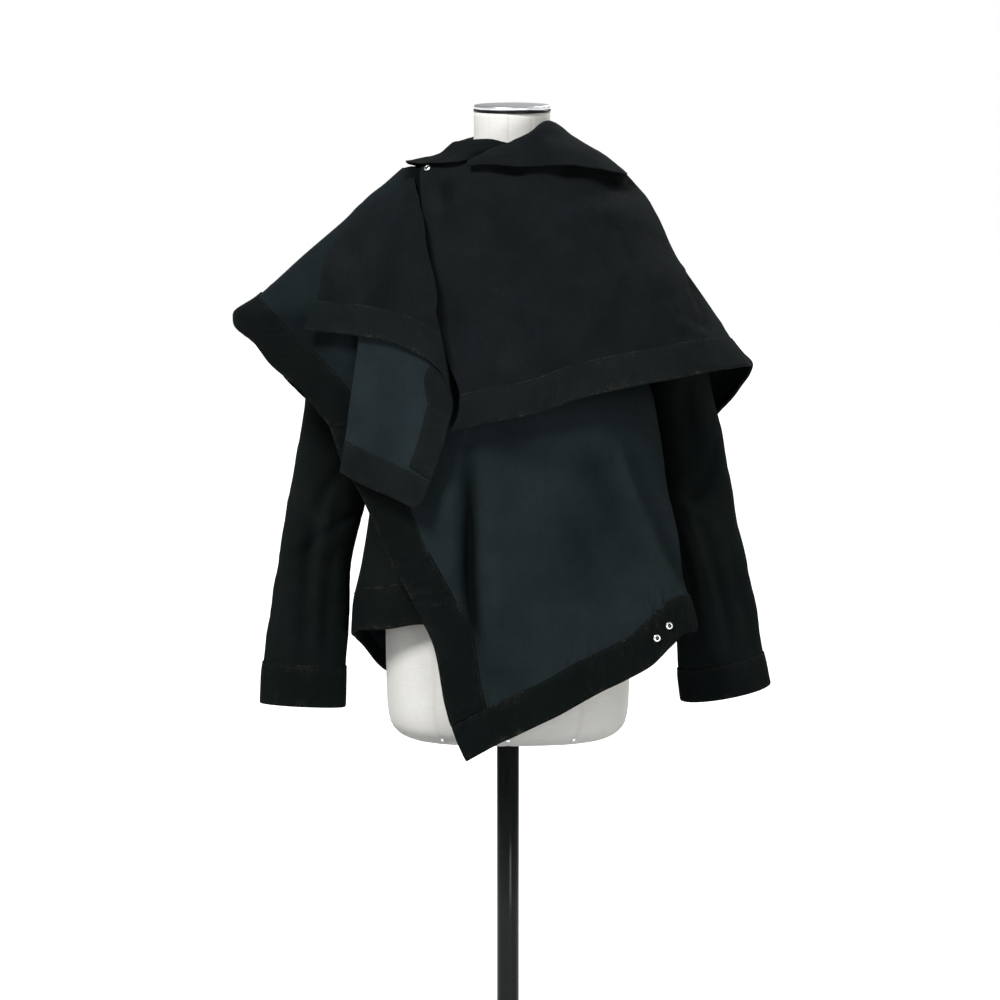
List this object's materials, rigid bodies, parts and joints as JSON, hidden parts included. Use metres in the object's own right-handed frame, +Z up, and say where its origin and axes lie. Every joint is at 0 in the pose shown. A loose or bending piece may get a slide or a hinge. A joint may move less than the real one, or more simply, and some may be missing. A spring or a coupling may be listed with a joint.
{
  "type": "denim jacket on a dress form with its stand",
  "caption": "Black denim wrap jacket with a shawl cape, a folded-over tie end and snap-fastened hem, worn by a limbless linen dress form on a black pole and round base",
  "frame": {"origin": "centre of the stand's round base, on its underside", "axes": "+X is the viewer's right seen from the front, +Y points away from the viewer to the garment's back, +Z is up along the pole"},
  "size_m": [0.6778, 0.3466, 1.4216],
  "materials": {
    "denim": "matte black twill, right side",
    "denim_reverse": "matte blue-black twill, reverse side",
    "denim_band": "matte black twill, doubled and stitched",
    "snap_metal": "polished",
    "linen": "fine plain-weave cover, cream",
    "cap_metal": "satin",
    "black_paint": "gloss black"
  },
  "bodies": {
    "root": {"back": "denim", "front_inner": "denim", "front_wrap": "denim_reverse", "cape_front": "denim", "cape_back": "denim", "tie_end": "denim_reverse", "flap": "denim", "collar_left": "denim", "collar_right": "denim", "sleeve_left": "denim", "sleeve_right": "denim", "cuff_left": "denim_band", "cuff_right": "denim_band", "band_wrap_hem": "denim_band", "band_wrap_edge": "denim_band", "band_cape_front": "denim_band", "band_cape_back": "denim_band", "band_flap": "denim_band", "band_tie_hem": "denim_band", "band_tie_edge": "denim_band", "waistband_inner": "denim_band", "band_back": "denim_band", "snap_hem_low": "snap_metal", "snap_hem_high": "snap_metal", "snap_shoulder": "snap_metal", "form_torso": "linen", "neck_rim": "black_paint", "neck_cap": "cap_metal", "pole": "black_paint", "base": "black_paint"}
  },
  "joints": []
}
